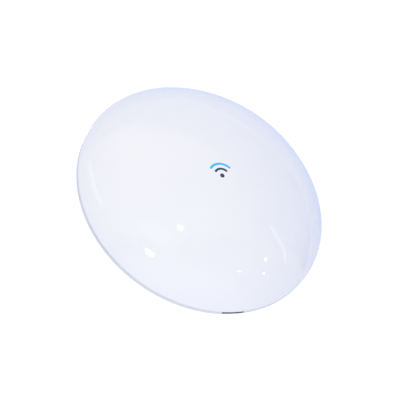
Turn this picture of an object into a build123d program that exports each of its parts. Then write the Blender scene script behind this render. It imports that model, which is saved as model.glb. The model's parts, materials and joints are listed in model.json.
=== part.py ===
"""Outdoor wireless bridge: a domed dish radio on a ball-joint pole mount.

Every piece is drawn on the bench with X to the right, Y up and Z along the boresight, measured from the
axis of the mast. at_home() then turns it into the part's own frame: +Z up, boresight along -Y, origin on
the mast's axis at the height of the ball. All sizes are in millimetres.
"""

from build123d import *
from math import asin, cos, radians, sin, sqrt, tan
import os

# ---- driving dimensions -------------------------------------------------------------------------
MAST_RADIUS = 19.0          # 38 mm mast
RIM_RADIUS = 94.5           # 189 mm dish
RIM_Z = 98.0                # the widest circle
SEAM_GAP = 0.3

# Dome: a front arc, a tighter shoulder arc and a small round at the rim, all tangent.
FRONT_ARC = 160.0
FRONT_SLOPE = radians(26)
SHOULDER_SLOPE = radians(54)
EDGE_ROUND = 1.5
RADOME_WALL = 2.5

# Rear shell: a spherical cap behind the reflector.
SHELL_ARC = 150.0
SHELL_WALL = 2.2
SHELL_EDGE_Z = 92.8         # height of the cap's outer face at SHELL_EDGE_RADIUS
SHELL_EDGE_RADIUS = 92.0
DRAIN_WIDTH = 17.0

# Reflector: a paraboloid with a flat flange.
FOCAL_LENGTH = 63.0
REFLECTOR_VERTEX_Z = 68.0
REFLECTOR_RADIUS = 84.0
REFLECTOR_FLANGE_RADIUS = 89.0
REFLECTOR_HOLE = 15.0
SHEET = 0.8

# Radio housing behind the shell.
HOUSING_WIDTH, HOUSING_HEIGHT, HOUSING_CORNER = 72.0, 96.0, 17.0
HOUSING_BACK_Z = 48.0
HOUSING_DRAFT = 4.0
WALL = 2.2
GASKET = 0.8

# Ball joint, measured from the ball's centre.
BALL_Z = 42.0
BALL_RADIUS = 12.5
STEM_RADIUS = 6.5
COLLET_INNER, COLLET_OUTER = 12.7, 15.2
CUP_RADIUS = 15.6
COLLAR_RADIUS = 19.0
NUT_BORE = 19.3
NUT_RADIUS = 26.0
NUT_APERTURE = 12.8
NUT_BACK_RADIUS = 19.5
RUNNING_GAP = 0.3

# Saddle of the mast mount.
SADDLE_WALL = 4.3
SADDLE_HALF_ANGLE = 62.0
SADDLE_HALF_HEIGHT = 15.0
SADDLE_ROUND = 1.2
STRAP_SLOT_ANGLE = 38.0

# Main board.
BOARD_Z = 63.6
BOARD_THICKNESS = 1.6
BOARD_WIDTH, BOARD_LOW_Y, BOARD_HIGH_Y, BOARD_CORNER = 58.0, -40.0, 42.0, 16.0
BOARD_FRONT_Z = BOARD_Z + BOARD_THICKNESS

# Network port bay at the foot of the housing.
BAY_HALF_WIDTH = 21.0
BAY_CEILING_Y = -42.5
BAY_FRONT_Z = 63.0
JACK_WIDTH, JACK_DEPTH, JACK_HEIGHT = 16.0, 21.0, 11.6
JACK_MOUTH_Y = -42.0
CABLE_SLOT = 7.2

# Positions of repeated pieces, as (x, y).
HOUSING_PAD_Z = 73.6        # where the heads of the housing screws bear
HOUSING_BOSSES = [(sx * 28.8, sy * 40.3) for sx in (-1, 1) for sy in (-1, 1)]
STANDOFFS = [(sx * 26.0, sy * 28.0) for sx in (-1, 1) for sy in (-1, 1)]
LED_COUNT, LED_PITCH, LED_Y = 6, 6.5, 38.5
LEDS = [((i - (LED_COUNT - 1) / 2) * LED_PITCH, LED_Y) for i in range(LED_COUNT)]
REFLECTOR_POSTS = 6
REFLECTOR_POST_RADIUS = 86.5
RESET_X, RESET_Z = 14.5, 60.3
BREATHER = (-26.5, -19.0)
LABEL_WIDTH, LABEL_HEIGHT, LABEL_Y = 34.0, 6.0, 31.5
COVER_TOP_Y, COVER_FOOT_Y = -31.3, -50.0

# ---- sizes that follow from them ----------------------------------------------------------------
EDGE_END_RADIUS = RIM_RADIUS - EDGE_ROUND * (1 - sin(SHOULDER_SLOPE))
SHOULDER_ARC = (EDGE_END_RADIUS - FRONT_ARC * sin(FRONT_SLOPE)) / (sin(SHOULDER_SLOPE) - sin(FRONT_SLOPE))
DOME_HEIGHT = (
    FRONT_ARC * (1 - cos(FRONT_SLOPE))
    + SHOULDER_ARC * (cos(FRONT_SLOPE) - cos(SHOULDER_SLOPE))
    + EDGE_ROUND * cos(SHOULDER_SLOPE)
)
APEX_Z = RIM_Z + DOME_HEIGHT
FRONT_CENTRE_Z = APEX_Z - FRONT_ARC
SHOULDER_CENTRE = (
    (FRONT_ARC - SHOULDER_ARC) * sin(FRONT_SLOPE),
    FRONT_CENTRE_Z + (FRONT_ARC - SHOULDER_ARC) * cos(FRONT_SLOPE),
)
SHELL_CENTRE_Z = SHELL_EDGE_Z + sqrt(SHELL_ARC**2 - SHELL_EDGE_RADIUS**2)
SEAM_Z = RIM_Z - 0.6        # underside of the radome's edge
TONGUE_INNER, TONGUE_OUTER = 91.2, 92.6
TONGUE_END_Z = 95.6
LUG_RADIUS = 93.2           # tips of the radome's snap lugs
LEDGE_Z = 94.6              # where the rim seal lies
RIM_WALL_INNER = 92.9
JACK_Z = BOARD_Z - JACK_HEIGHT / 2
COLLAR_END_Z = BALL_Z - 0.5
CUP_FLOOR_Z = BALL_Z + 15.0
NUT_FRONT_Z = HOUSING_BACK_Z - 0.5
NUT_LIP_Z = BALL_Z - 8.6    # inner face of the nut's lip
NUT_BACK_Z = BALL_Z - 11.2


# ---- helpers ------------------------------------------------------------------------------------
def at_home(part):
    """Turns a piece from the bench into the part's own frame."""
    return Rot(90, 0, 0) * part


def turned(*edges):
    """A solid turned about the boresight from a closed outline in X (radius) and Z."""
    return revolve(make_face([*edges]), Axis.Z)


def turned_polygon(*points):
    """A solid turned about the boresight from straight lines between (radius, z) points."""
    corners = [(r, 0, z) for r, z in points]
    return turned(Polyline(*corners, close=True))


def rod(radius, low_z, high_z, x=0.0, y=0.0):
    """A round bar along the boresight."""
    return Pos(x, y, low_z) * Cylinder(radius, high_z - low_z, align=(Align.CENTER, Align.CENTER, Align.MIN))


def upright(radius, low_y, high_y, x=0.0, z=0.0):
    """A round bar along Y."""
    return Pos(x, low_y, z) * Rot(-90, 0, 0) * Cylinder(
        radius, high_y - low_y, align=(Align.CENTER, Align.CENTER, Align.MIN)
    )


def block(x, y, z):
    """A box from three (low, high) pairs."""
    size = [high - low for low, high in (x, y, z)]
    return Pos(x[0], y[0], z[0]) * Box(*size, align=(Align.MIN, Align.MIN, Align.MIN))


def rounded_plate(width, height, corner, low_z, high_z, draft=0.0):
    """A plate with rounded corners across the boresight, widening forwards with draft."""
    outline = Plane.XY.offset(low_z) * RectangleRounded(width, height, corner)
    return extrude(outline, high_z - low_z, taper=-draft)


def ball(radius):
    return Pos(0, 0, BALL_Z) * Sphere(radius)


def slab(low_z, high_z):
    """Everything between two heights, for cutting."""
    return rod(200, low_z, high_z)


def parabola_z(radius):
    return REFLECTOR_VERTEX_Z + radius**2 / (4 * FOCAL_LENGTH)


def parabola_edge(inner, outer, shift):
    """The exact parabola between two radii, moved along the boresight by shift."""
    middle = (inner + outer) / 2
    control_z = parabola_z(inner) + inner / (2 * FOCAL_LENGTH) * (middle - inner)
    return Bezier(
        (inner, 0, parabola_z(inner) + shift),
        (middle, 0, control_z + shift),
        (outer, 0, parabola_z(outer) + shift),
    )


def dome_arc(centre, radius, from_slope, to_slope):
    """An arc of the dome's outline, between two slopes measured from the apex."""
    def point(slope):
        return (centre[0] + radius * sin(slope), 0, centre[1] + radius * cos(slope))

    return ThreePointArc(point(from_slope), point((from_slope + to_slope) / 2), point(to_slope))


def shell_sphere(radius):
    return Pos(0, 0, SHELL_CENTRE_Z) * Sphere(radius)


def screw(head_radius, head_height, shank_radius, length, x, y, under_head_z, recess=1.1):
    """A pan-head screw that points backwards, with a cross recess in its head."""
    head = rod(head_radius, under_head_z, under_head_z + head_height, x, y)
    head = chamfer(head.edges().sort_by(Axis.Z)[-1], head_height * 0.35)
    body = head + rod(shank_radius, under_head_z - length, under_head_z, x, y)
    top = under_head_z + head_height
    recess_depth = (top - head_height * 0.55, top + 1)
    for half_x, half_y in ((recess, recess / 3), (recess / 3, recess)):
        body -= block((x - half_x, x + half_x), (y - half_y, y + half_y), recess_depth)
    return body


# ---- dish ---------------------------------------------------------------------------------------
def radome():
    front = (0, FRONT_CENTRE_Z)
    edge_centre = (RIM_RADIUS - EDGE_ROUND, RIM_Z)
    inner_front = FRONT_ARC - RADOME_WALL
    inner_shoulder = SHOULDER_ARC - RADOME_WALL
    inner_end = asin((TONGUE_INNER - SHOULDER_CENTRE[0]) / inner_shoulder)
    inner_end_z = SHOULDER_CENTRE[1] + inner_shoulder * cos(inner_end)
    shell = turned(
        dome_arc(front, FRONT_ARC, 0, FRONT_SLOPE),
        dome_arc(SHOULDER_CENTRE, SHOULDER_ARC, FRONT_SLOPE, SHOULDER_SLOPE),
        dome_arc(edge_centre, EDGE_ROUND, SHOULDER_SLOPE, radians(90)),
        Polyline(
            (RIM_RADIUS, 0, RIM_Z),
            (RIM_RADIUS, 0, SEAM_Z),
            (TONGUE_OUTER, 0, SEAM_Z),
            (TONGUE_OUTER, 0, TONGUE_END_Z),
            (TONGUE_INNER, 0, TONGUE_END_Z),
            (TONGUE_INNER, 0, inner_end_z),
        ),
        dome_arc(SHOULDER_CENTRE, inner_shoulder, inner_end, FRONT_SLOPE),
        dome_arc(front, inner_front, FRONT_SLOPE, 0),
        Line((0, 0, FRONT_CENTRE_Z + inner_front), (0, 0, APEX_Z)),
    )
    # Eight snap lugs on the tongue catch the groove inside the shell's rim.
    lug_root = TONGUE_OUTER - 0.3
    lug_ring = turned_polygon((lug_root, 95.9), (LUG_RADIUS, 96.15), (LUG_RADIUS, 96.4), (lug_root, 96.5))
    lug_sector = block((0, 100), (-6, 6), (90, 100))
    for i in range(8):
        shell += lug_ring & (Rot(0, 0, 45 * (i + 0.5)) * lug_sector)
    return shell


def rim_seal():
    return rod(TONGUE_OUTER, LEDGE_Z, TONGUE_END_Z) - rod(TONGUE_INNER, LEDGE_Z, TONGUE_END_Z)


def rear_shell():
    top_z = SEAM_Z - SEAM_GAP
    cap = shell_sphere(SHELL_ARC) & rod(RIM_RADIUS, 0, top_z)
    # Hollow: the spherical inside, and the stepped seat for the seal and the radome's tongue.
    cap -= shell_sphere(SHELL_ARC - SHELL_WALL) & slab(0, LEDGE_Z)
    cap -= rod(RIM_WALL_INNER, LEDGE_Z, top_z + 1)
    groove_root, groove_radius = RIM_WALL_INNER - 1, LUG_RADIUS + 0.25
    cap -= turned_polygon(
        (groove_root, 95.75), (groove_radius, 95.95), (groove_radius, 96.55), (groove_root, 96.75)
    )
    # Pads that carry the housing screws, and posts that carry the reflector.
    for x, y in HOUSING_BOSSES:
        cap += rod(3.6, 60, HOUSING_PAD_Z, x, y) & shell_sphere(SHELL_ARC)
    flange_z = parabola_z(REFLECTOR_RADIUS) - SHEET
    for post in PolarLocations(REFLECTOR_POST_RADIUS, REFLECTOR_POSTS, start_angle=30):
        cap += (post * rod(2.4, 80, flange_z)) & shell_sphere(SHELL_ARC)
        cap -= post * rod(1.05, flange_z - 2.8, flange_z + 1)
    # Window for the electronics, screw holes, and the drain slot at the lowest point of the rim.
    cap -= rounded_plate(60, 84, 12, 50, 90)
    for x, y in HOUSING_BOSSES:
        cap -= rod(1.6, 50, 80, x, y)
    drain_x = (-DRAIN_WIDTH / 2, DRAIN_WIDTH / 2)
    return cap - block(drain_x, (-RIM_RADIUS - 1, -RIM_RADIUS + 2.6), (95.7, top_z + 1))


def reflector():
    flange_z = parabola_z(REFLECTOR_RADIUS)
    back_hole_z = parabola_z(REFLECTOR_HOLE) - SHEET
    dish = turned(
        parabola_edge(REFLECTOR_HOLE, REFLECTOR_RADIUS, 0),
        Polyline(
            (REFLECTOR_RADIUS, 0, flange_z),
            (REFLECTOR_FLANGE_RADIUS, 0, flange_z),
            (REFLECTOR_FLANGE_RADIUS, 0, flange_z - SHEET),
            (REFLECTOR_RADIUS, 0, flange_z - SHEET),
        ),
        parabola_edge(REFLECTOR_HOLE, REFLECTOR_RADIUS, -SHEET),
        Line((REFLECTOR_HOLE, 0, back_hole_z), (REFLECTOR_HOLE, 0, parabola_z(REFLECTOR_HOLE))),
    )
    for post in PolarLocations(REFLECTOR_POST_RADIUS, REFLECTOR_POSTS, start_angle=30):
        dish -= post * rod(1.2, flange_z - 2, flange_z + 2)
    return dish


def reflector_screws():
    under_head = parabola_z(REFLECTOR_RADIUS)
    return Compound(
        [
            post * screw(2.1, 1.3, 1.0, 3.2, 0, 0, under_head, recess=0.8)
            for post in PolarLocations(REFLECTOR_POST_RADIUS, REFLECTOR_POSTS, start_angle=30)
        ]
    )


# ---- feed ---------------------------------------------------------------------------------------
FEED_RADIUS = 13.6
FEED_WALL = 1.4
FEED_FOOT_Z = 66.2
FEED_TOP_Z = 119.0
FEED_FLANGE_RADIUS = 20.5
FEED_FLANGE_Z = 71.2         # front of the flange that lies on the reflector
CAP_RADIUS = 20.0


def feed_tube():
    tube = turned_polygon(
        (FEED_RADIUS - FEED_WALL, FEED_FOOT_Z),
        (FEED_RADIUS, FEED_FOOT_Z),
        (FEED_RADIUS, parabola_z(REFLECTOR_HOLE) + 0.05),
        (REFLECTOR_HOLE, parabola_z(REFLECTOR_HOLE) + 0.05),
        (FEED_FLANGE_RADIUS, parabola_z(FEED_FLANGE_RADIUS) + 0.05),
        (FEED_FLANGE_RADIUS, FEED_FLANGE_Z),
        (FEED_RADIUS + 1.2, FEED_FLANGE_Z + 1.0),
        (FEED_RADIUS - 0.6, FEED_TOP_Z),
        (FEED_RADIUS - 0.6 - FEED_WALL, FEED_TOP_Z),
    )
    # Three hooks reach behind the reflector's edge.
    hook_top = parabola_z(REFLECTOR_HOLE) - SHEET - 0.15
    hook_ring = turned_polygon(
        (FEED_RADIUS - 0.5, hook_top - 1.2),
        (REFLECTOR_HOLE + 0.6, hook_top - 0.5),
        (REFLECTOR_HOLE + 0.6, hook_top),
        (FEED_RADIUS - 0.5, hook_top),
    )
    for i in range(3):
        tube += hook_ring & (Rot(0, 0, 90 + 120 * i) * block((0, 30), (-3, 3), (60, 72)))
    return tube


def feed_board():
    board = block((-10.5, 10.5), (-0.5, 0.5), (BOARD_FRONT_Z, 104))
    return board + block((-7.5, 7.5), (-0.5, 0.5), (104, 116))


def feed_dipoles():
    """Copper printed on both faces of the feed board: a line and two crossing arms on each."""
    copper = []
    for side in (-1, 1):
        face = sorted((side * 0.5, side * 0.58))
        printed = block((-0.9, 0.9), face, (BOARD_FRONT_Z + 3, 112))
        printed += block(sorted((0, side * 6.6)), face, (110.2, 112))
        printed += block(sorted((0, -side * 5.2)), face, (106, 107.4))
        copper.append(printed)
    return Compound(copper)


def feed_cap():
    return turned_polygon(
        (0, 116.6),
        (FEED_RADIUS - 0.8 - FEED_WALL, 116.6),
        (FEED_RADIUS - 0.8 - FEED_WALL, FEED_TOP_Z),
        (CAP_RADIUS, 121.0),
        (CAP_RADIUS, 123.6),
        (CAP_RADIUS - 1.2, 123.6),
        (CAP_RADIUS - 1.2, 122.0),
        (0, 120.2),
    )


def sub_reflector():
    """A shallow metal cone that lies in the cap and throws the beam back at the dish."""
    return turned_polygon((0, 120.3), (CAP_RADIUS - 1.4, 122.08), (CAP_RADIUS - 1.4, 123.1), (0, 121.4))


# ---- radio housing ------------------------------------------------------------------------------
def housing_outside(shrink=0.0, low_z=HOUSING_BACK_Z):
    """The housing's drafted outer form, or one that lies inside it by shrink."""
    grow = (low_z - HOUSING_BACK_Z) * tan(radians(HOUSING_DRAFT))
    return rounded_plate(
        HOUSING_WIDTH - 2 * shrink + 2 * grow,
        HOUSING_HEIGHT - 2 * shrink + 2 * grow,
        HOUSING_CORNER - shrink + grow,
        low_z,
        low_z + 34,
        HOUSING_DRAFT,
    )


def housing_moulding():
    """The housing as it looks from outside, before its foot is parted off."""
    outside = housing_outside()
    outside = fillet(outside.faces().sort_by(Axis.Z)[0].edges(), 5.0)
    inside = housing_outside(WALL, HOUSING_BACK_Z + WALL)
    body = outside - inside
    # Port bay at the foot, closed towards the electronics.
    bay_floor_y = -HOUSING_HEIGHT / 2 - 4
    body += block(
        (-BAY_HALF_WIDTH - WALL, BAY_HALF_WIDTH + WALL),
        (bay_floor_y, BAY_CEILING_Y + WALL),
        (HOUSING_BACK_Z, BAY_FRONT_Z + WALL),
    ) & outside
    bay_width = (-BAY_HALF_WIDTH, BAY_HALF_WIDTH)
    body -= block(bay_width, (bay_floor_y, BAY_CEILING_Y), (HOUSING_BACK_Z - 1, BAY_FRONT_Z))
    # Shallow recess for the cover's back plate, and grooves for its rails.
    body -= block(bay_width, (bay_floor_y, COVER_TOP_Y + 0.3), (HOUSING_BACK_Z - 1, HOUSING_BACK_Z + 1.2))
    for side in (-1, 1):
        low, high = sorted((side * BAY_HALF_WIDTH, side * (BAY_HALF_WIDTH + 1.3)))
        body -= block((low, high), (bay_floor_y, BAY_CEILING_Y), (55.0, 58.0))
    # Socket for the ball: a cup inside and a threaded collar outside.
    body += rod(CUP_RADIUS + WALL, HOUSING_BACK_Z + 1, CUP_FLOOR_Z + WALL)
    collar = rod(COLLAR_RADIUS, COLLAR_END_Z, HOUSING_BACK_Z + 1)
    body += chamfer(collar.edges().sort_by(Axis.Z)[0], 0.6)
    body -= rod(CUP_RADIUS, COLLAR_END_Z - 1, CUP_FLOOR_Z)
    # Screw bosses and board standoffs.
    for x, y in HOUSING_BOSSES:
        body += rod(3.2, 56, 76, x, y) & outside
    for x, y in STANDOFFS:
        body += rod(2.8, HOUSING_BACK_Z + 1, BOARD_Z, x, y)
    body -= shell_sphere(SHELL_ARC + GASKET)
    for x, y in HOUSING_BOSSES:
        body -= rod(1.35, 57.5, 80, x, y)
    for x, y in STANDOFFS:
        body -= rod(1.05, 56, 70, x, y)
    # Openings in the walls: jack, reset button, light pipes, label recess and breather.
    ceiling = (BAY_CEILING_Y - 1, BAY_CEILING_Y + WALL + 1)
    jack_half = JACK_WIDTH / 2 + 0.15
    body -= block((-jack_half, jack_half), ceiling, (BOARD_Z - JACK_HEIGHT - 0.15, BOARD_Z))
    body -= upright(1.9, *ceiling, RESET_X, RESET_Z)
    back_wall = (HOUSING_BACK_Z - 1, HOUSING_BACK_Z + WALL + 1)
    for x, y in LEDS:
        body -= rod(1.35, *back_wall, x, y)
    body -= rod(3.1, *back_wall, *BREATHER)
    recess_z = (HOUSING_BACK_Z - 1, HOUSING_BACK_Z + 0.2)
    return body - Pos(0, LABEL_Y, 0) * rounded_plate(LABEL_WIDTH + 0.4, LABEL_HEIGHT + 0.4, 1.4, *recess_z)


def foot_zone():
    """The space that the foot takes out of the housing."""
    return block((-BAY_HALF_WIDTH - WALL, BAY_HALF_WIDTH + WALL), (-60, BAY_CEILING_Y + WALL), (40, 90))


def radio_housing():
    return housing_moulding() - foot_zone()


def housing_foot():
    """Moulded foot with the network port's bay, welded into the housing."""
    return housing_moulding() & foot_zone()


def housing_gasket():
    """Sheet gasket between the housing's front edge and the shell."""
    ring = housing_outside(0.5) - housing_outside(WALL + 1.2)
    layer = shell_sphere(SHELL_ARC + GASKET) - shell_sphere(SHELL_ARC)
    gasket = ring & layer & slab(55, 82)
    for x, y in HOUSING_BOSSES:
        gasket -= rod(1.7, 50, 90, x, y)
    return gasket.solids().sort_by(SortBy.VOLUME)[-1]


def housing_screws():
    return Compound([screw(2.6, 1.7, 1.3, 12.5, x, y, HOUSING_PAD_Z) for x, y in HOUSING_BOSSES])


def breather_vent():
    x, y = BREATHER
    plug = rod(3.0, HOUSING_BACK_Z + 0.2, HOUSING_BACK_Z + WALL + 0.8, x, y)
    face = rod(4.2, HOUSING_BACK_Z - 1.2, HOUSING_BACK_Z, x, y)
    face = fillet(face.edges().sort_by(Axis.Z)[0], 0.5)
    plug += face + rod(3.0, HOUSING_BACK_Z - 0.2, HOUSING_BACK_Z + 0.3, x, y)
    slit = block((-5, 5), (-0.35, 0.35), (HOUSING_BACK_Z - 1.4, HOUSING_BACK_Z - 0.45))
    for angle in (0, 60, 120):
        plug -= Pos(x, y, 0) * Rot(0, 0, angle) * slit
    return plug


def id_label():
    """A blank rating plate; it carries no lettering."""
    plate = rounded_plate(LABEL_WIDTH, LABEL_HEIGHT, 1.2, HOUSING_BACK_Z + 0.02, HOUSING_BACK_Z + 0.2)
    return Pos(0, LABEL_Y, 0) * plate


def light_pipes():
    pipes = []
    for x, y in LEDS:
        pipe = rod(1.2, HOUSING_BACK_Z - 0.5, BOARD_Z - 1.0, x, y)
        pipe = fillet(pipe.edges().sort_by(Axis.Z)[0], 0.7)
        pipes.append(pipe + rod(1.9, HOUSING_BACK_Z + WALL + 0.05, HOUSING_BACK_Z + WALL + 1.2, x, y))
    return Compound(pipes)


def port_cover():
    """Sliding cover over the network port; rails on its cheeks run in the housing's grooves."""
    half = BAY_HALF_WIDTH - 0.25
    rear_z, foot_y = HOUSING_BACK_Z - 0.3, COVER_FOOT_Y
    back = block((-half, half), (foot_y, COVER_TOP_Y), (rear_z, HOUSING_BACK_Z + 1.0))
    back = fillet(back.edges().filter_by(Axis.Z).group_by(Axis.Y)[-1], 3.0)
    back = fillet(back.faces().sort_by(Axis.Z)[0].edges(), 0.6)
    cover = back + block((-half, half), (foot_y, foot_y + 2.0), (HOUSING_BACK_Z + 0.5, BAY_FRONT_Z - 0.3))
    for side in (-1, 1):
        cheek_x = sorted((side * (half - 1.6), side * half))
        cover += block(cheek_x, (foot_y + 1, BAY_CEILING_Y - 0.5), (HOUSING_BACK_Z + 0.5, BAY_FRONT_Z - 0.6))
        rail_x = sorted((side * (half - 0.5), side * (half + 1.2)))
        cover += block(rail_x, (foot_y + 2.6, BAY_CEILING_Y - 0.6), (55.35, 57.65))
    # Finger ridges, and the slot that the cable leaves by.
    for i in range(4):
        ridge_y = -36.0 - 1.9 * i
        ridge = block((-7, 7), (ridge_y - 0.4, ridge_y + 0.4), (rear_z - 0.45, HOUSING_BACK_Z + 0.2))
        cover += fillet(ridge.edges().filter_by(Axis.X).group_by(Axis.Z)[0], 0.35)
    floor_y = (foot_y - 1, foot_y + 2.5)
    cover -= upright(CABLE_SLOT / 2, *floor_y, 0, JACK_Z)
    cover -= block((-CABLE_SLOT / 2, CABLE_SLOT / 2), floor_y, (JACK_Z, BAY_FRONT_Z + 1))
    return cover


# ---- electronics --------------------------------------------------------------------------------
def main_board():
    board = rounded_plate(BOARD_WIDTH, BOARD_HIGH_Y - BOARD_LOW_Y, BOARD_CORNER, BOARD_Z, BOARD_FRONT_Z)
    board = Pos(0, (BOARD_LOW_Y + BOARD_HIGH_Y) / 2, 0) * board
    for x, y in STANDOFFS:
        board -= rod(1.35, 60, 70, x, y)
    for x, y in ((-26, 0), (26, 0)):
        board -= rod(1.0, 60, 70, x, y)
    return board


def board_screws():
    return Compound([screw(2.3, 1.4, 1.0, 7.0, x, y, BOARD_FRONT_Z, recess=0.85) for x, y in STANDOFFS])


CANS = {"processor_can": (-21.0, 21.0, 20.0, 37.5), "radio_can": (-19.0, 19.0, -38.0, -20.0)}
CAN_HEIGHT = 2.6
CAN_SHEET = 0.25


def shield_can(name):
    """A thin stamped lid over the chips on the board's front, with vent holes."""
    x0, x1, y0, y1 = CANS[name]
    top = BOARD_FRONT_Z + CAN_HEIGHT
    can = block((x0, x1), (y0, y1), (BOARD_FRONT_Z, top))
    can = fillet(can.edges().filter_by(Axis.Z), 0.8)
    can -= block(
        (x0 + CAN_SHEET, x1 - CAN_SHEET),
        (y0 + CAN_SHEET, y1 - CAN_SHEET),
        (BOARD_FRONT_Z - 1, top - CAN_SHEET),
    )
    for column in range(8):
        for row in range(2):
            x = (x0 + x1) / 2 + (column - 3.5) * 3.2
            y = (y0 + y1) / 2 + (row - 0.5) * 3.2
            can -= rod(0.7, top - 1, top + 1, x, y)
    return can


def chip(x, y, width, height, tall, front=True):
    z = (BOARD_FRONT_Z, BOARD_FRONT_Z + tall) if front else (BOARD_Z - tall, BOARD_Z)
    body = block((x - width / 2, x + width / 2), (y - height / 2, y + height / 2), z)
    outer = body.faces().sort_by(Axis.Z)[-1 if front else 0]
    return chamfer(outer.edges(), 0.15)


def board_chips():
    """Processor, memory and flash under one can, radio parts under the other, and the rest behind."""
    return Compound(
        [
            chip(-12, 29, 12, 12, 1.3),
            chip(2.5, 29, 9, 12, 1.1),
            chip(13, 31, 6, 5, 1.0),
            chip(0, -28, 9, 9, 1.0),
            chip(-12, -29, 4, 4, 0.9),
            chip(12, -29, 4, 4, 0.9),
            chip(20, 18, 7, 7, 0.9, front=False),
            chip(-20, 16, 5, 6, 1.2, front=False),
        ]
    )


def power_parts():
    """Network transformer, coil and capacitors on the back of the board."""
    pieces = [chip(17.5, -25.5, 7.5, 12.5, 5.6, front=False), chip(-23.5, -17.0, 7.0, 7.0, 4.0, front=False)]
    for x, y, radius, tall in ((-15.5, -34.0, 3.15, 7.7), (-13.0, -25.5, 2.5, 5.4), (-24.5, 8.0, 2.5, 5.4)):
        can = rod(radius, BOARD_Z - tall, BOARD_Z, x, y)
        pieces.append(fillet(can.edges().sort_by(Axis.Z)[0], 0.5))
    return Compound(pieces)


def status_leds():
    lamp = block((-0.8, 0.8), (-0.4, 0.4), (BOARD_Z - 0.7, BOARD_Z))
    return Compound([Pos(x, y, 0) * lamp for x, y in LEDS])


def jack_box(inset, mouth=0.0):
    """The jack's outer box, shrunk by inset on every side but its mouth."""
    return block(
        (-JACK_WIDTH / 2 + inset, JACK_WIDTH / 2 - inset),
        (JACK_MOUTH_Y + mouth, JACK_MOUTH_Y + JACK_DEPTH - inset),
        (BOARD_Z - JACK_HEIGHT + inset, BOARD_Z - inset),
    )


def jack_shield():
    shield = jack_box(0) - jack_box(0.35, mouth=-1)
    # Two grounding springs are pressed out of each side.
    for side in (-1, 1):
        x = side * (JACK_WIDTH / 2 - 0.2)
        shield -= block((x - 0.5, x + 0.5), (-38.5, -33.5), (55.2, 55.8))
        shield -= block((x - 0.5, x + 0.5), (-38.5, -33.5), (58.6, 59.2))
    return shield


def jack_body():
    body = jack_box(0.4, mouth=0.4)
    mouth = block((-5.95, 5.95), (JACK_MOUTH_Y - 1, -26.5), (JACK_Z - 2.9, JACK_Z + 3.9))
    latch = block((-3.2, 3.2), (JACK_MOUTH_Y - 1, -31.0), (JACK_Z - 4.3, JACK_Z - 2.5))
    return body - mouth - latch


def jack_contacts():
    """Eight gold springs, each bent down into the mouth."""
    springs = []
    for i in range(8):
        x = (i - 3.5) * 1.02
        root, bend, tip = (x, -26.9, JACK_Z + 3.7), (x, -37.5, JACK_Z + 3.5), (x, -30.5, JACK_Z + 1.6)
        profile = Plane(root, z_dir=Vector(*bend) - Vector(*root)) * Rectangle(0.42, 0.26)
        spring = sweep(profile, Polyline(root, bend, tip), transition=Transition.RIGHT)
        springs.append(spring.solids()[0])
    return Compound(springs)


def reset_switch():
    """A side-push switch on the back of the board; its tip faces the button."""
    body = block((RESET_X - 3, RESET_X + 3), (-38.0, -34.4), (58.2, BOARD_Z))
    return body + upright(1.0, -38.5, -37.5, RESET_X, RESET_Z)


def reset_button():
    stem = upright(1.6, BAY_CEILING_Y - 0.5, BAY_CEILING_Y + WALL + 0.4, RESET_X, RESET_Z)
    stem = fillet(stem.edges().sort_by(Axis.Y)[0], 0.3)
    return stem + upright(2.6, BAY_CEILING_Y + WALL + 0.05, BAY_CEILING_Y + WALL + 0.95, RESET_X, RESET_Z)


# ---- ball joint and mast mount ------------------------------------------------------------------
def ball_seat():
    """Friction cup at the bottom of the socket."""
    cup = rod(CUP_RADIUS - RUNNING_GAP, BALL_Z + 4.6, CUP_FLOOR_Z - 0.1)
    return cup - ball(BALL_RADIUS + RUNNING_GAP)


def collet_ring():
    """Split spherical ring that holds the ball from behind."""
    ring = (ball(COLLET_OUTER) - ball(COLLET_INNER)) & slab(BALL_Z - 7.0, BALL_Z)
    ring -= block((-0.9, 0.9), (0, 20), (BALL_Z - 8, BALL_Z + 1))
    for i in range(1, 6):
        ring -= Rot(0, 0, 60 * i) * block((-0.5, 0.5), (0, 20), (BALL_Z - 8, BALL_Z - 2.4))
    return ring


def slip_ring():
    """Washer that rides on the collet and lets the nut turn without dragging it."""
    ring = rod(NUT_BORE - 0.4, NUT_LIP_Z + 0.1, BALL_Z - 1.6)
    return ring - ball(COLLET_OUTER + RUNNING_GAP)


def lock_nut():
    """Ring nut with twelve grip lobes; its lip pulls the ball into the socket."""
    nut = rod(NUT_RADIUS - 1.8, NUT_BACK_Z, NUT_FRONT_Z)
    lobe_radius = 3.4
    for lobe in PolarLocations(NUT_RADIUS - lobe_radius, 12):
        nut += lobe * rod(lobe_radius, NUT_BACK_Z + 0.6, NUT_FRONT_Z - 0.8)
    nut &= turned_polygon(
        (0, NUT_BACK_Z),
        (NUT_BACK_RADIUS, NUT_BACK_Z),
        (NUT_RADIUS + 1, NUT_BACK_Z + 5.5),
        (NUT_RADIUS + 1, NUT_FRONT_Z),
        (0, NUT_FRONT_Z),
    )
    nut -= rod(NUT_BORE, NUT_LIP_Z, NUT_FRONT_Z + 1)
    nut -= turned_polygon(
        (0, NUT_BACK_Z - 1),
        (NUT_APERTURE + 2.2, NUT_BACK_Z - 1),
        (NUT_APERTURE, NUT_BACK_Z + 1.2),
        (NUT_APERTURE, NUT_LIP_Z + 1),
        (0, NUT_LIP_Z + 1),
    )
    return nut


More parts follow.
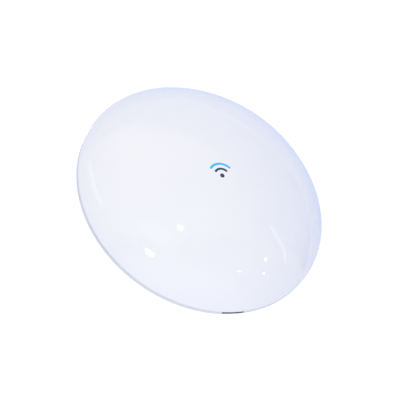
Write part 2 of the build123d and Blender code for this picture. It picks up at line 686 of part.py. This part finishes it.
def ball_mount():
    """Ball, stem and saddle, moulded in one piece. The saddle's hollow side lies against the mast."""
    saddle = upright(MAST_RADIUS + SADDLE_WALL, -SADDLE_HALF_HEIGHT, SADDLE_HALF_HEIGHT)
    saddle -= upright(MAST_RADIUS, -SADDLE_HALF_HEIGHT - 1, SADDLE_HALF_HEIGHT + 1)
    reach = 60.0
    spread = reach * tan(radians(SADDLE_HALF_ANGLE))
    sector = make_face(Polyline((0, 0, 0), (spread, 0, reach), (-spread, 0, reach), close=True))
    saddle &= extrude(sector, 40, both=True)
    saddle = fillet(saddle.edges(), SADDLE_ROUND)
    # Slots that the mast strap is threaded through.
    through = (MAST_RADIUS - 2, MAST_RADIUS + SADDLE_WALL + 3)
    for angle in (-STRAP_SLOT_ANGLE, STRAP_SLOT_ANGLE):
        saddle -= Rot(0, angle, 0) * block((-1.25, 1.25), (-7.2, 7.2), through)
    foot_z = MAST_RADIUS + SADDLE_WALL - 1.2
    stem = turned_polygon(
        (0, foot_z),
        (9.0, foot_z),
        (8.2, foot_z + 2.2),
        (STEM_RADIUS, foot_z + 4.2),
        (STEM_RADIUS, BALL_Z - 6),
        (0, BALL_Z - 6),
    )
    return saddle + stem + ball(BALL_RADIUS)


# ---- writing the parts --------------------------------------------------------------------------
PARTS = {
    "radome": radome,
    "rim_seal": rim_seal,
    "rear_shell": rear_shell,
    "reflector": reflector,
    "reflector_screws": reflector_screws,
    "feed_tube": feed_tube,
    "feed_board": feed_board,
    "feed_dipoles": feed_dipoles,
    "feed_cap": feed_cap,
    "sub_reflector": sub_reflector,
    "radio_housing": radio_housing,
    "housing_foot": housing_foot,
    "housing_gasket": housing_gasket,
    "housing_screws": housing_screws,
    "breather_vent": breather_vent,
    "id_label": id_label,
    "light_pipes": light_pipes,
    "port_cover": port_cover,
    "main_board": main_board,
    "board_screws": board_screws,
    "processor_can": lambda: shield_can("processor_can"),
    "radio_can": lambda: shield_can("radio_can"),
    "board_chips": board_chips,
    "power_parts": power_parts,
    "status_leds": status_leds,
    "jack_shield": jack_shield,
    "jack_body": jack_body,
    "jack_contacts": jack_contacts,
    "reset_switch": reset_switch,
    "reset_button": reset_button,
    "ball_seat": ball_seat,
    "collet_ring": collet_ring,
    "slip_ring": slip_ring,
    "lock_nut": lock_nut,
    "ball_mount": ball_mount,
}

os.makedirs("parts", exist_ok=True)
for name, make in PARTS.items():
    export_step(at_home(make()), f"parts/{name}.step")
print(f"dome height {DOME_HEIGHT:.2f}, apex at {APEX_Z:.2f}, shoulder arc {SHOULDER_ARC:.2f}")
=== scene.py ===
import json
import math

import bmesh
import bpy
from mathutils import Matrix, Vector


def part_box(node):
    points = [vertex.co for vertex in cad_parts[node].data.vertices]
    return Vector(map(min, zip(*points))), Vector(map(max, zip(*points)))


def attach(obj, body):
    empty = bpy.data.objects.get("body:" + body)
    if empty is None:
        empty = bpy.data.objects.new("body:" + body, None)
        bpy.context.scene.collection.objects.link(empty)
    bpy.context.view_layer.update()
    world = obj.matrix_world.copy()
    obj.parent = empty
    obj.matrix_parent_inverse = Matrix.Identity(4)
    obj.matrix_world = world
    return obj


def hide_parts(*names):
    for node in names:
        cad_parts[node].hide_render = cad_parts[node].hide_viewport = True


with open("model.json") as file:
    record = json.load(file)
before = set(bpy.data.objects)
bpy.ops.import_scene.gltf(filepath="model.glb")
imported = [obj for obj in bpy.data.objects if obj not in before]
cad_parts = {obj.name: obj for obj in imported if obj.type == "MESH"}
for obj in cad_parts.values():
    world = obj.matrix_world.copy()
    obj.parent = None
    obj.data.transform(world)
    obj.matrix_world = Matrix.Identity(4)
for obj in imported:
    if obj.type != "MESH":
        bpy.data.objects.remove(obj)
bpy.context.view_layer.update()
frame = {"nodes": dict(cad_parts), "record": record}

MM = 0.001

# ---- sizes, worked out from the frame -----------------------------------------------------------
radome_low, radome_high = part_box("radome")
RIM_RADIUS = (radome_high.x - radome_low.x) / 2
APEX_Y = radome_low.y
EDGE_ROUND = 1.5 * MM
FRONT_ARC = 160 * MM
FRONT_SLOPE, SHOULDER_SLOPE = math.radians(26), math.radians(54)
FRONT_END_RADIUS = FRONT_ARC * math.sin(FRONT_SLOPE)
EDGE_END_RADIUS = RIM_RADIUS - EDGE_ROUND * (1 - math.sin(SHOULDER_SLOPE))
SHOULDER_ARC = (EDGE_END_RADIUS - FRONT_END_RADIUS) / (
    math.sin(SHOULDER_SLOPE) - math.sin(FRONT_SLOPE)
)
FRONT_DROP = FRONT_ARC * (1 - math.cos(FRONT_SLOPE))
SHOULDER_DROP = SHOULDER_ARC * (math.cos(FRONT_SLOPE) - math.cos(SHOULDER_SLOPE))
DOME_HEIGHT = FRONT_DROP + SHOULDER_DROP + EDGE_ROUND * math.cos(SHOULDER_SLOPE)
RIM_CENTRE = Vector((0, APEX_Y + DOME_HEIGHT, 0))
RADOME_WALL = 2.5 * MM
TONGUE_INNER, TONGUE_OUTER = RIM_RADIUS - 3.3 * MM, RIM_RADIUS - 1.9 * MM
SEAM_Y, TONGUE_END_Y = RIM_CENTRE.y + 0.6 * MM, radome_high.y

# The part of the rear shell where shade is painted, near black: the drain slot at the lowest point
# of the rim.
DRAIN_HALF_WIDTH, DRAIN_DEPTH, DRAIN_TOP_Y = 8.6 * MM, 2.7 * MM, RIM_CENTRE.y + 2.4 * MM

# The printed mark at the apex.
INK = 0.06 * MM             # how far the print stands off the dome
MARK_FOOT_Z = -4.6 * MM     # the middle of the dot, and the centre of the waves
DOT_RADIUS = 1.7 * MM
WAVE_RADII = (5.6 * MM, 9.8 * MM)
WAVE_HALF_WIDTH = 0.85 * MM
WAVE_SPREAD = math.radians(48)


# ---- camera -------------------------------------------------------------------------------------
VIEW_BACK = Vector((-0.4342, -0.7773, -0.4552)).normalized()    # towards the camera
VIEW_RIGHT = Vector((0.9006, -0.3638, -0.2379))
VIEW_RIGHT = (VIEW_RIGHT - VIEW_BACK * VIEW_RIGHT.dot(VIEW_BACK)).normalized()
VIEW_UP = VIEW_BACK.cross(VIEW_RIGHT)
CAMERA_DISTANCE = 18 * RIM_RADIUS
FRAME_WIDTH = 0.2892        # what the picture spans at the rim's distance
AIM_RIGHT, AIM_UP = -0.00123, -0.00224
SENSOR_WIDTH = 36
CLIP_START, CLIP_END = 0.05, 60


def add_camera():
    data = bpy.data.cameras.new("camera")
    data.sensor_width = SENSOR_WIDTH
    data.lens = SENSOR_WIDTH * CAMERA_DISTANCE / FRAME_WIDTH
    data.clip_start, data.clip_end = CLIP_START, CLIP_END
    camera = bpy.data.objects.new("camera", data)
    bpy.context.scene.collection.objects.link(camera)
    aim = RIM_CENTRE + VIEW_RIGHT * AIM_RIGHT + VIEW_UP * AIM_UP
    place = Matrix((VIEW_RIGHT, VIEW_UP, VIEW_BACK)).transposed().to_4x4()
    place.translation = aim + VIEW_BACK * CAMERA_DISTANCE
    camera.matrix_world = place
    bpy.context.scene.camera = camera


# ---- node helpers -------------------------------------------------------------------------------
class Tree:
    """A node tree, with one short call for each kind of node."""

    def __init__(self, tree):
        self.tree = tree

    def add(self, kind, **values):
        node = self.tree.nodes.new(kind)
        for key, value in values.items():
            setattr(node, key, value)
        return node

    def link(self, output, socket):
        self.tree.links.new(output, socket)

    def blend(self, factor, first, second):
        """A colour that goes from first to second; each is a colour or another node's output."""
        node = self.add("ShaderNodeMix", data_type="RGBA")
        self.link(factor, node.inputs["Factor"])
        for value, socket in ((first, node.inputs[6]), (second, node.inputs[7])):
            if isinstance(value, tuple):
                socket.default_value = (*value, 1)
            else:
                self.link(value, socket)
        return node.outputs[2]

    def maths(self, operation, first, second=0.0):
        node = self.add("ShaderNodeMath", operation=operation)
        for value, socket in ((first, node.inputs[0]), (second, node.inputs[1])):
            if isinstance(value, float):
                socket.default_value = value
            else:
                self.link(value, socket)
        return node.outputs[0]


class Nodes(Tree):
    """A material's node tree; its textures lie in the object's own coordinates."""

    def __init__(self, name):
        self.material = bpy.data.materials.new(name)
        self.material.use_nodes = True
        super().__init__(self.material.node_tree)
        self.shader = self.tree.nodes["Principled BSDF"]
        self.place = self.add("ShaderNodeTexCoord").outputs["Object"]

    def stretched(self, scale):
        """The object's own coordinates, stretched."""
        mapping = self.add("ShaderNodeMapping")
        mapping.inputs["Scale"].default_value = scale
        self.link(self.place, mapping.inputs["Vector"])
        return mapping.outputs["Vector"]

    def noise(self, scale, detail=3.0, place=None):
        node = self.add("ShaderNodeTexNoise")
        node.inputs["Scale"].default_value = scale
        node.inputs["Detail"].default_value = detail
        self.link(place or self.place, node.inputs["Vector"])
        return node.outputs["Fac"]

    def cells(self, scale):
        """The distance to the nearest of many scattered points."""
        node = self.add("ShaderNodeTexVoronoi")
        node.inputs["Scale"].default_value = scale
        self.link(self.place, node.inputs["Vector"])
        return node.outputs["Distance"]

    def spread(self, value, low, high, from_low=0.3, from_high=0.7):
        """A value's useful range, stretched to run from low to high."""
        node = self.add("ShaderNodeMapRange")
        node.inputs["From Min"].default_value = from_low
        node.inputs["From Max"].default_value = from_high
        node.inputs["To Min"].default_value = low
        node.inputs["To Max"].default_value = high
        self.link(value, node.inputs["Value"])
        return node.outputs["Result"]

    def relief(self, height, distance):
        """A bump from a height between 0 and 1 that stands distance metres high."""
        node = self.add("ShaderNodeBump")
        node.inputs["Distance"].default_value = distance
        self.link(height, node.inputs["Height"])
        return node.outputs["Normal"]

    def finish(self, colour, roughness, normal=None, **uniform):
        for value, name in ((colour, "Base Color"), (roughness, "Roughness"), (normal, "Normal")):
            if value is not None:
                self.link(value, self.shader.inputs[name])
        for name, value in uniform.items():
            self.shader.inputs[name.replace("_", " ")].default_value = value
        return self.material


def shade(colour, factor):
    return tuple(min(c * factor, 1.0) for c in colour)


# ---- materials ----------------------------------------------------------------------------------
def gloss_radome():
    """Polished white plastic with a faint orange peel and slow changes of tone."""
    n = Nodes("radome_gloss")
    tone = n.spread(n.noise(9, detail=2), 0, 1)
    colour = n.blend(tone, (0.815, 0.819, 0.830), (0.825, 0.828, 0.836))
    gloss = n.spread(n.noise(60, detail=4), 0.035, 0.05)
    peel = n.relief(n.noise(170, detail=1), 0.0012 * MM)
    return n.finish(colour, gloss, peel, IOR=1.49)


def in_drain_slot(n):
    """1 on the walls of the drain slot, under the rim, and 0 everywhere else."""
    split = n.add("ShaderNodeSeparateXYZ")
    n.link(n.place, split.inputs["Vector"])
    across = n.maths("LESS_THAN", n.maths("ABSOLUTE", split.outputs["X"]), DRAIN_HALF_WIDTH)
    low = n.maths("LESS_THAN", split.outputs["Z"], DRAIN_DEPTH - RIM_RADIUS)
    front = n.maths("LESS_THAN", split.outputs["Y"], DRAIN_TOP_Y)
    return n.maths("MULTIPLY", n.maths("MULTIPLY", across, low), front)


def shell_gloss():
    """The rear shell's moulded plastic, with painted shade, near black, on the walls of its drain
    slot.
    """
    n = Nodes("shell_gloss")
    fine = n.noise(1 / (1.2 * MM), detail=2)
    tone = n.spread(n.noise(35, detail=3), 0, 1)
    plastic = n.blend(tone, (0.728, 0.732, 0.742), (0.765, 0.770, 0.780))
    # Painted shade: the slot's white walls are coloured near black to stand for the shade inside
    # the slot.
    painted_slot_shade = n.blend(tone, (0.012, 0.014, 0.020), (0.022, 0.024, 0.030))
    colour = n.blend(in_drain_slot(n), plastic, painted_slot_shade)
    return n.finish(colour, n.spread(fine, 0.17, 0.29), n.relief(fine, 0.003 * MM), IOR=1.48)


def moulded(name, colour, roughness, grain, depth):
    """Moulded plastic with a spark-eroded texture; grain and depth are in millimetres."""
    n = Nodes(name)
    fine = n.noise(1 / (grain * MM), detail=2)
    tone = n.spread(n.noise(35, detail=3), 0, 1)
    tinted = n.blend(tone, shade(colour, 0.97), shade(colour, 1.02))
    rough = n.spread(fine, roughness - 0.05, roughness + 0.07)
    return n.finish(tinted, rough, n.relief(fine, depth * MM), IOR=1.48)


def metal(name, colour, roughness, stretch, scale):
    """Metal with fine marks; stretch draws them out along an axis."""
    n = Nodes(name)
    marks = n.noise(scale, detail=4, place=n.stretched(stretch))
    tinted = n.blend(n.spread(marks, 0, 1), shade(colour, 0.93), shade(colour, 1.03))
    rough = n.spread(marks, roughness - 0.06, roughness + 0.10)
    return n.finish(tinted, rough, n.relief(marks, 0.004 * MM), Metallic=1.0)


def rubber():
    n = Nodes("seal_rubber")
    fine = n.noise(2200, detail=3)
    tinted = n.blend(n.spread(fine, 0, 1), (0.018, 0.018, 0.020), (0.035, 0.035, 0.038))
    return n.finish(tinted, n.spread(fine, 0.62, 0.80), n.relief(fine, 0.015 * MM))


def circuit_board():
    """Green solder mask over copper tracks, with plated pads."""
    n = Nodes("circuit_board")
    tracks = n.add("ShaderNodeTexBrick")
    tracks.inputs["Scale"].default_value = 260
    tracks.inputs["Mortar Size"].default_value = 0.035
    for name in ("Color1", "Color2"):
        tracks.inputs[name].default_value = (0, 0, 0, 1)
    tracks.inputs["Mortar"].default_value = (1, 1, 1, 1)
    n.link(n.place, tracks.inputs["Vector"])
    pads = n.spread(n.cells(330), 1, 0, 0.10, 0.14)
    masked = n.blend(tracks.outputs["Color"], (0.010, 0.085, 0.040), (0.022, 0.150, 0.068))
    colour = n.blend(pads, masked, (0.60, 0.47, 0.22))
    rough = n.spread(n.noise(700), 0.28, 0.42)
    return n.finish(colour, rough, n.relief(tracks.outputs["Color"], 0.02 * MM))


def black_resin(name, colour):
    n = Nodes(name)
    fine = n.noise(3500, detail=2)
    tinted = n.blend(n.spread(fine, 0, 1), shade(colour, 0.8), shade(colour, 1.25))
    return n.finish(tinted, n.spread(fine, 0.42, 0.58), n.relief(fine, 0.008 * MM))


def clear_plastic(name, colour):
    n = Nodes(name)
    fine = n.noise(900, detail=2)
    tinted = n.blend(n.spread(fine, 0, 1), shade(colour, 0.96), colour)
    rough = n.spread(fine, 0.08, 0.14)
    bump = n.relief(fine, 0.003 * MM)
    return n.finish(tinted, rough, bump, IOR=1.58, Transmission_Weight=0.75)


def print_ink(name, colour):
    """Pad-printed ink, with the slight mottle of the screen."""
    n = Nodes(name)
    fine = n.noise(2600, detail=2)
    tinted = n.blend(n.spread(fine, 0, 1), shade(colour, 0.94), shade(colour, 1.04))
    return n.finish(tinted, n.spread(fine, 0.12, 0.20), n.relief(fine, 0.002 * MM))


# For each slot of moulded plastic: name, colour, roughness, grain and depth.
MOULDED = {
    "housing_plastic": ("housing_texture", (0.77, 0.775, 0.785), 0.42, 0.45, 0.014),
    "nut_plastic": ("nut_texture", (0.60, 0.605, 0.615), 0.45, 0.4, 0.012),
    "mount_plastic": ("mount_texture", (0.53, 0.535, 0.545), 0.5, 0.5, 0.016),
    "cover_plastic": ("cover_texture", (0.75, 0.755, 0.765), 0.42, 0.45, 0.014),
    "bearing_plastic": ("bearing_acetal", (0.66, 0.66, 0.62), 0.35, 0.8, 0.004),
    "feed_plastic": ("feed_plastic", (0.78, 0.78, 0.75), 0.4, 0.6, 0.006),
    "label_film": ("label_film", (0.50, 0.53, 0.57), 0.35, 0.9, 0.002),
    "vent_grey": ("vent_grey", (0.10, 0.105, 0.115), 0.5, 0.4, 0.01),
    "button_plastic": ("button_grey", (0.06, 0.062, 0.068), 0.42, 0.5, 0.008),
}
# For each slot of metal: name, colour, roughness, stretch and scale of the marks.
METALS = {
    "reflector_metal": ("spun_aluminium", (0.80, 0.81, 0.83), 0.28, (1, 6, 1), 500),
    "screw_steel": ("screw_steel", (0.60, 0.60, 0.61), 0.30, (1, 1, 1), 2500),
    "copper": ("tinned_copper", (0.86, 0.50, 0.32), 0.32, (1, 1, 1), 1800),
    "gold_contact": ("gold_contact", (0.95, 0.72, 0.34), 0.22, (1, 8, 1), 2500),
    "can_steel": ("tinned_steel", (0.72, 0.72, 0.70), 0.34, (1, 1, 5), 700),
}


def dress_frame():
    """Gives every node of the frame the material of its slot."""
    made = {
        "radome_plastic": gloss_radome(),
        "shell_plastic": shell_gloss(),
        "seal_rubber": rubber(),
        "circuit_board": circuit_board(),
        "chip_black": black_resin("chip_epoxy", (0.028, 0.028, 0.031)),
        "jack_black": black_resin("jack_nylon", (0.022, 0.022, 0.024)),
        "led_lens": clear_plastic("led_lens", (0.80, 0.92, 0.78)),
        "light_pipe": clear_plastic("light_pipe", (0.90, 0.94, 0.96)),
    }
    made.update({slot: moulded(*row) for slot, row in MOULDED.items()})
    made.update({slot: metal(*row) for slot, row in METALS.items()})
    for part in frame["record"]["subparts"]:
        node = frame["nodes"][part["node"]]
        node.data.materials.clear()
        node.data.materials.append(made[part["material_slot"]])
    return made


# ---- pieces -------------------------------------------------------------------------------------
def new_piece(name, data, material, body):
    piece = bpy.data.objects.new(name, data)
    bpy.context.scene.collection.objects.link(piece)
    piece.data.materials.append(material)
    for polygon in piece.data.polygons:
        polygon.use_smooth = True
    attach(piece, body)
    return piece


def finished(mesh, name):
    """A bmesh as mesh data, with its faces' normals made to agree."""
    bmesh.ops.recalc_face_normals(mesh, faces=mesh.faces)
    data = bpy.data.meshes.new(name)
    mesh.to_mesh(data)
    mesh.free()
    return data


def circle_angles(count):
    return [2 * math.pi * i / count for i in range(count)]


def lathe(name, outline, turns):
    """A mesh turned about the boresight from (radius, y) points; a radius of 0 is a pole."""
    mesh = bmesh.new()
    angles = circle_angles(turns)
    rings = []
    for radius, y in outline:
        if radius == 0:
            rings.append([mesh.verts.new((0, y, 0))])
            continue
        points = [(radius * math.sin(a), y, radius * math.cos(a)) for a in angles]
        rings.append([mesh.verts.new(point) for point in points])
    for inner, outer in zip(rings, rings[1:]):
        for i in range(turns):
            j = (i + 1) % turns
            if len(inner) == 1:
                mesh.faces.new((inner[0], outer[i], outer[j]))
            elif len(outer) == 1:
                mesh.faces.new((inner[i], outer[0], inner[j]))
            else:
                mesh.faces.new((inner[i], outer[i], outer[j], inner[j]))
    return finished(mesh, name)


def arc(centre, radius, start, end, steps):
    """Points of the dome's outline along an arc, from one slope to another."""
    slopes = [start + (end - start) * i / steps for i in range(steps + 1)]
    return [(centre[0] + radius * math.sin(s), centre[1] - radius * math.cos(s)) for s in slopes]


def dome_outline():
    """The radome's outline from its apex round the rim and back along its inside."""
    front_rings, shoulder_rings, round_rings, inside_rings = 60, 60, 8, 24
    front = (0, APEX_Y + FRONT_ARC)
    shoulder_radius = FRONT_END_RADIUS - SHOULDER_ARC * math.sin(FRONT_SLOPE)
    shoulder = (shoulder_radius, front[1] - (FRONT_ARC - SHOULDER_ARC) * math.cos(FRONT_SLOPE))
    edge = (RIM_RADIUS - EDGE_ROUND, RIM_CENTRE.y)
    outside = arc(front, FRONT_ARC, 0, FRONT_SLOPE, front_rings)
    outside += arc(shoulder, SHOULDER_ARC, FRONT_SLOPE, SHOULDER_SLOPE, shoulder_rings)[1:]
    outside += arc(edge, EDGE_ROUND, SHOULDER_SLOPE, math.pi / 2, round_rings)[1:]
    tongue = [
        (RIM_RADIUS, SEAM_Y),
        (TONGUE_OUTER, SEAM_Y),
        (TONGUE_OUTER, TONGUE_END_Y),
        (TONGUE_INNER, TONGUE_END_Y),
    ]
    inner_arc = SHOULDER_ARC - RADOME_WALL
    inner_end = math.asin((TONGUE_INNER - shoulder_radius) / inner_arc)
    inside = arc(shoulder, inner_arc, inner_end, FRONT_SLOPE, inside_rings)
    inside += arc(front, FRONT_ARC - RADOME_WALL, FRONT_SLOPE, 0, inside_rings)[1:]
    on_axis = 1e-9          # a radius no larger than this is a pole
    return [(r if r > on_axis else 0, y) for r, y in outside + tongue + inside]


def sharp_by_angle(piece, degrees):
    """Marks edges sharper than an angle, so that smooth shading stops at them."""
    mesh = bmesh.new()
    mesh.from_mesh(piece.data)
    limit = math.radians(degrees)
    for edge in mesh.edges:
        edge.smooth = len(edge.link_faces) == 2 and edge.calc_face_angle(0) < limit
    mesh.to_mesh(piece.data)
    mesh.free()


def add_dome(material):
    dome_turns, sharp_angle = 288, 40
    data = lathe("dome", dome_outline(), dome_turns)
    dome = new_piece("dome", data, material, "dish")
    sharp_by_angle(dome, sharp_angle)
    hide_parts("radome")


def on_dome(x, z, lift):
    """A point of the dome's front arc, seen from the front, lifted off it."""
    depth = FRONT_ARC - math.sqrt(FRONT_ARC**2 - math.hypot(x, z) ** 2)
    return Vector((x, APEX_Y + depth - lift, z))


def wave_stations(middle):
    """(angle, half width) all along a wave, from one rounded end to the other."""
    steps, cap_steps = 36, 9
    caps = [math.pi / 2 * i / cap_steps for i in range(1, cap_steps + 1)]
    reach = WAVE_HALF_WIDTH / middle
    start = [(-WAVE_SPREAD - reach * math.cos(c), WAVE_HALF_WIDTH * math.sin(c)) for c in caps]
    along = [(WAVE_SPREAD * (2 * i / steps - 1), WAVE_HALF_WIDTH) for i in range(1, steps)]
    return start + along + [(-angle, width) for angle, width in reversed(start)]


def wave_mesh(name, middle):
    """A round-ended band along an arc of this middle radius, lying on the dome's face."""
    mesh = bmesh.new()

    def corner(angle, radius, lift):
        x, z = radius * math.sin(angle), MARK_FOOT_Z + radius * math.cos(angle)
        return mesh.verts.new(on_dome(x, z, lift))

    rows = []
    for angle, width in wave_stations(middle):
        outer, inner = middle + width, middle - width
        profile = ((outer, 0), (outer, INK), (inner, INK), (inner, 0))
        rows.append([corner(angle, radius, lift) for radius, lift in profile])
    for row, after in zip(rows, rows[1:]):
        for i in range(3):
            mesh.faces.new((row[i], row[i + 1], after[i + 1], after[i]))
    mesh.faces.new(rows[0])
    mesh.faces.new(rows[-1])
    return finished(mesh, name)


def dot_mesh(name):
    """A round dot on the dome's face."""
    mesh = bmesh.new()
    count = 32
    rings = []
    for share, lift in ((1, 0), (1, INK), (0.5, INK)):
        reach = share * DOT_RADIUS
        around = circle_angles(count)
        points = [(reach * math.sin(a), MARK_FOOT_Z + reach * math.cos(a)) for a in around]
        rings.append([mesh.verts.new(on_dome(x, z, lift)) for x, z in points])
    middle = mesh.verts.new(on_dome(0, MARK_FOOT_Z, INK))
    for ring, after in zip(rings, rings[1:]):
        for i in range(count):
            j = (i + 1) % count
            mesh.faces.new((ring[i], ring[j], after[j], after[i]))
    for i in range(count):
        mesh.faces.new((rings[-1][i], rings[-1][(i + 1) % count], middle))
    return finished(mesh, name)


def add_mark():
    """A generic printed mark at the apex: a dot with radio waves above it."""
    blue = print_ink("ink_blue", (0.0, 0.50, 0.92))
    navy = print_ink("ink_navy", (0.018, 0.040, 0.085))
    new_piece("mark_dot", dot_mesh("mark_dot"), navy, "dish")
    for i, (radius, ink) in enumerate(zip(WAVE_RADII, (navy, blue))):
        data = wave_mesh(f"mark_wave_{i + 1}", radius)
        new_piece(f"mark_wave_{i + 1}", data, ink, "dish")


# ---- floor --------------------------------------------------------------------------------------
FLOOR_Z = -1.9              # below the camera, wherever a view puts it
FLOOR_HALF_SIZE = 13


def add_floor():
    mesh = bmesh.new()
    bmesh.ops.create_grid(mesh, x_segments=24, y_segments=24, size=FLOOR_HALF_SIZE)
    data = bpy.data.meshes.new("floor")
    mesh.to_mesh(data)
    mesh.free()
    floor = bpy.data.objects.new("floor", data)
    floor.location.z = FLOOR_Z
    bpy.context.scene.collection.objects.link(floor)
    n = Nodes("floor_pale")
    tone = n.spread(n.noise(1.2, detail=2), 0, 1)
    colour = n.blend(tone, (0.90, 0.88, 0.835), (0.91, 0.89, 0.845))
    n.finish(colour, n.spread(n.noise(40), 0.6, 0.75))
    data.materials.append(n.material)


# ---- the room's light ---------------------------------------------------------------------------
# A zone is a direction, the cosines from it where the zone begins and is full, and its colour.
# Each zone lies over the ones before it.
# The soft box fills the front and left of the room, up to two straight edges.
BOX_EDGES = (
    ((-0.796, -0.605, 0), 0, 0.008),
    ((-0.566, -0.732, -0.380), -0.004, 0.006),
)
BOX_COLOUR = (0.50, 0.61, 0.93)
BOX_ZONES = (
    ((0, -0.8, 0.6), -0.2, 0.7, (1.07, 1.05, 1.04)),
    ((0, -0.5, 0.87), 0.80, 0.98, (1.46, 1.38, 1.24)),          # brightest in front and above
)
ROOM_COLOUR = (0.35, 0.47, 0.83)
ROOM_ZONES = (
    (VIEW_BACK, -0.6, 0.8, (0.61, 0.68, 0.89)),                 # paler on the camera's side
    ((0.10, -0.50, 0.86), 0.3, 1.0, (0.78, 0.83, 1.06)),        # and above
    ((0.96, 0.18, -0.22), 0.88, 0.99, (0.05, 0.12, 0.55)),      # dark at the right
)
BACK_ZONES = (
    (-VIEW_BACK, 0.496, 0.502, (1.15, 1.20, 1.28)),             # a thin bright edge
    (-VIEW_BACK, 0.520, 0.528, (0.60, 0.73, 1.06)),             # round the backdrop
    ((0, 1, 0), 0.80, 0.91, (0.55, 0.48, 0.42)),                # warm behind the object
)
SEEN_WHITE = (1.03, 1.03, 1.03)


def add_world():
    """A studio that lights by direction, and looks plain white to the camera."""
    world = bpy.data.worlds.new("studio")
    world.use_nodes = True
    bpy.context.scene.world = world
    w = Tree(world.node_tree)
    direction = w.add("ShaderNodeTexCoord").outputs["Generated"]

    def facing(axis, low, high):
        """0 to 1 as the direction turns towards axis."""
        dot = w.add("ShaderNodeVectorMath", operation="DOT_PRODUCT")
        dot.inputs[1].default_value = axis
        w.link(direction, dot.inputs[0])
        spread = w.add("ShaderNodeMapRange", interpolation_type="SMOOTHSTEP")
        spread.inputs["From Min"].default_value = low
        spread.inputs["From Max"].default_value = high
        w.link(dot.outputs["Value"], spread.inputs["Value"])
        return spread.outputs["Result"]

    def zoned(colour, zones):
        """A colour with zones laid over it."""
        for axis, low, high, zone_colour in zones:
            colour = w.blend(facing(axis, low, high), colour, zone_colour)
        return colour

    soft_box = w.maths("MULTIPLY", *(facing(*edge) for edge in BOX_EDGES))
    room = w.blend(soft_box, zoned(ROOM_COLOUR, ROOM_ZONES), zoned(BOX_COLOUR, BOX_ZONES))
    seen = w.add("ShaderNodeLightPath").outputs["Is Camera Ray"]
    colour = w.blend(seen, zoned(room, BACK_ZONES), SEEN_WHITE)
    background = w.tree.nodes["Background"]
    w.link(colour, background.inputs["Color"])
    background.inputs["Strength"].default_value = 1.0


# ---- lamps --------------------------------------------------------------------------------------
LAMP_DISTANCE = 2.2
FLOOR_LIGHT_SIZE, FLOOR_LIGHT_RADIANCE = 5.2, 0.66
FLOOR_LIGHT_PLACE = (-1.3, -2.2, FLOOR_Z + 1.3)
# A panel is the two directions it stretches between, its width as an angle, and its radiance.
REAR_KEY = (((0.12, 0.84, 0.45), (0.48, 0.84, 0.40)), 0.35, 7)
REAR_KEY_TINT = (1.0, 0.93, 0.82)
WINDOWS = {
    "window_high": (((-0.070, -0.997, -0.026), (-0.029, -0.996, -0.080)), 0.040, 9),
    "window_low": (((-0.538, -0.780, -0.314), (-0.450, -0.805, -0.397)), 0.115, 9),
    "pale_screen": (((-0.50, -0.865, 0.04), (-0.08, -0.965, -0.25)), 0.28, 0.5),
}
STRIPS = {
    "strip_left": (((-0.60, -0.186, 0.778), (-0.816, -0.508, 0.274)), 0.06, 1.1),
    "strip_right": (((0.755, -0.655, 0.028), (0.892, -0.37, -0.261)), 0.035, 1.3),
}
SPOTS = ((0.46, -0.760, -0.452), (0.695, -0.668, -0.255), (0.700, -0.560, -0.442))
SPOT_SIZE, SPOT_RADIANCE = 0.034, 16


def new_lamp(name, size, size_y, radiance, shape="ELLIPSE"):
    """An area lamp of a given radiance that the camera doesn't see."""
    data = bpy.data.lights.new(name, "AREA")
    data.shape = shape
    data.size, data.size_y = size, size_y
    area = data.size * data.size_y * (math.pi / 4 if shape == "ELLIPSE" else 1)
    data.energy = radiance * math.pi * area
    lamp = bpy.data.objects.new(name, data)
    lamp.visible_camera = False
    bpy.context.scene.collection.objects.link(lamp)
    return lamp


def add_panel(name, ends, width, radiance, shape="ELLIPSE"):
    """A lamp that faces the dome and stretches from one direction to another."""
    start, end = (Vector(direction).normalized() for direction in ends)
    towards = (start + end).normalized()
    length = (end - start).length
    lamp = new_lamp(name, length * LAMP_DISTANCE, width * LAMP_DISTANCE, radiance, shape)
    along = (end - start).normalized()
    along = (along - towards * along.dot(towards)).normalized()
    place = Matrix((along, towards.cross(along), towards)).transposed().to_4x4()
    place.translation = RIM_CENTRE + towards * LAMP_DISTANCE
    lamp.matrix_world = place
    return lamp


def add_lights():
    # A wide lamp below the object shines down and brightens the floor in front of it.
    floor_light = new_lamp(
        "floor_light", FLOOR_LIGHT_SIZE, FLOOR_LIGHT_SIZE, FLOOR_LIGHT_RADIANCE
    )
    floor_light.location = FLOOR_LIGHT_PLACE
    add_panel("rear_key", *REAR_KEY).data.color = REAR_KEY_TINT
    for name, panel in WINDOWS.items():
        add_panel(name, *panel)
    for name, panel in STRIPS.items():
        add_panel(name, *panel, shape="RECTANGLE")
    half = Vector((0, 0, SPOT_SIZE / 2))
    for i, spot in enumerate(SPOTS):
        ends = (Vector(spot) - half, Vector(spot) + half)
        add_panel(f"spot_{i + 1}", ends, SPOT_SIZE, SPOT_RADIANCE)


materials = dress_frame()
add_camera()
add_dome(materials["radome_plastic"])
add_mark()
add_floor()
add_world()
add_lights()
bpy.context.scene.view_settings.view_transform = "Standard"
